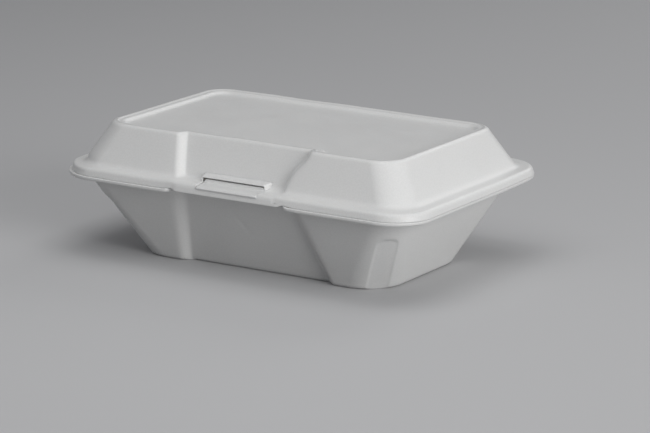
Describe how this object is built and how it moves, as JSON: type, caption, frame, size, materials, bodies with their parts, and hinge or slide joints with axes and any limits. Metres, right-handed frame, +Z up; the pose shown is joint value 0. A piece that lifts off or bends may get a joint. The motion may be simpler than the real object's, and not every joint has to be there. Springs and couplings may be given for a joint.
{
  "type": "foam clamshell container",
  "caption": "Rectangular hinged takeaway container of white foam: tapered base tray, ridged lid with a sunken panel, living hinge and front tongue lock.",
  "frame": {"origin": "on the floor, under the middle of the base's rim", "axes": "+X along the container, +Y from the front lock to the back hinge, +Z up"},
  "size_m": [0.236, 0.1624, 0.077],
  "materials": {
    "foam": "matte, closed-cell foam skin"
  },
  "bodies": {
    "base": {"base_tray": "foam"},
    "cover": {"lid": "foam"}
  },
  "joints": [
    {"name": "lid_hinge", "type": "hinge", "parent": "base", "child": "cover", "pos_m": [0, 0.0808, 0.04955], "axis": [-1, 0, 0], "range_deg": [0, 180]}
  ]
}
